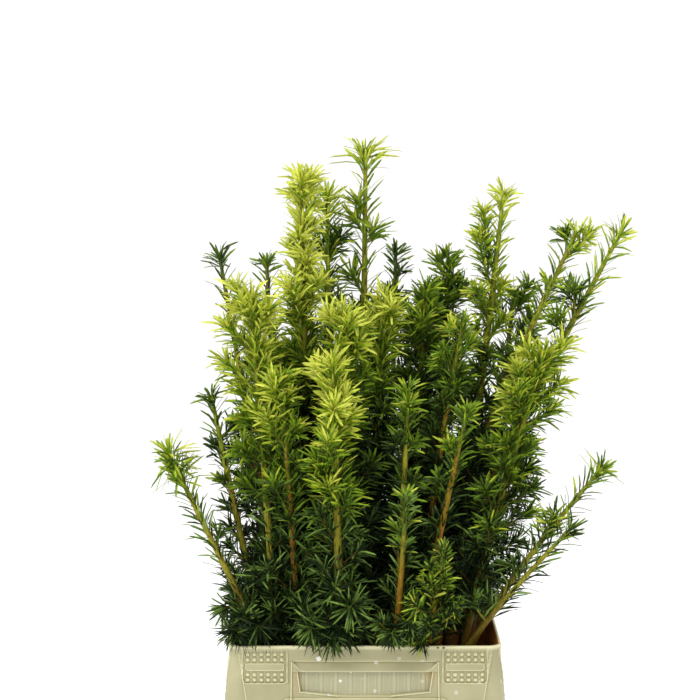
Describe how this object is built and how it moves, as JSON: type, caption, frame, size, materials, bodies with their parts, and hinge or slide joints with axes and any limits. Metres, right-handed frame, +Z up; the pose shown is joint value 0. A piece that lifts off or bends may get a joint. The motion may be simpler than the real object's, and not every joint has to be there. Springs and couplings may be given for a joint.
{
  "type": "bunch of cut yew stems in a plastic flower container",
  "caption": "Upright golden-tipped yew stems with flat pointed needles, cut and standing in a tapered cream plastic container with a ribbed collar.",
  "frame": {"origin": "centre of the container's flat underside, where it stands", "axes": "+Z up along the stems, +X along the container's long side to the picture's right, +Y from the picture's front to its back"},
  "size_m": [0.6889, 0.4001, 1.0043],
  "materials": {
    "container": "cream moulded plastic with a soft sheen, scuffed and lightly soiled",
    "bark": "young yew bark, golden olive to orange brown, with fine ridges and leaf scars",
    "needles_gold": "golden yellow needles, waxy, paler at the edges",
    "needles_lime": "yellow green needles, waxy",
    "needles_olive": "olive green needles, waxy",
    "needles_green": "mid green needles, waxy",
    "needles_dark": "dark green needles, waxy"
  },
  "bodies": {
    "root": {"container": "container", "stem_01": "bark", "foliage_01": "needles_lime", "stem_02": "bark", "foliage_02": "needles_gold", "stem_03": "bark", "foliage_03": "needles_olive", "stem_04": "bark", "foliage_04": "needles_olive", "stem_05": "bark", "foliage_05": "needles_green", "stem_06": "bark", "foliage_06": "needles_green", "stem_07": "bark", "foliage_07": "needles_dark", "stem_08": "bark", "foliage_08": "needles_lime", "stem_09": "bark", "foliage_09": "needles_green", "stem_10": "bark", "foliage_10": "needles_gold", "stem_11": "bark", "foliage_11": "needles_lime", "stem_12": "bark", "foliage_12": "needles_olive", "stem_13": "bark", "foliage_13": "needles_lime", "stem_14": "bark", "foliage_14": "needles_lime", "stem_15": "bark", "foliage_15": "needles_dark", "stem_16": "bark", "foliage_16": "needles_gold", "stem_17": "bark", "foliage_17": "needles_gold", "stem_18": "bark", "foliage_18": "needles_green", "stem_19": "bark", "foliage_19": "needles_olive", "stem_20": "bark", "foliage_20": "needles_lime", "stem_21": "bark", "foliage_21": "needles_dark", "stem_22": "bark", "foliage_22": "needles_lime", "stem_23": "bark", "foliage_23": "needles_lime", "stem_24": "bark", "foliage_24": "needles_dark", "stem_25": "bark", "foliage_25": "needles_dark", "stem_26": "bark", "foliage_26": "needles_gold", "stem_27": "bark", "foliage_27": "needles_dark", "stem_28": "bark", "foliage_28": "needles_green", "stem_29": "bark", "foliage_29": "needles_green"}
  },
  "joints": []
}
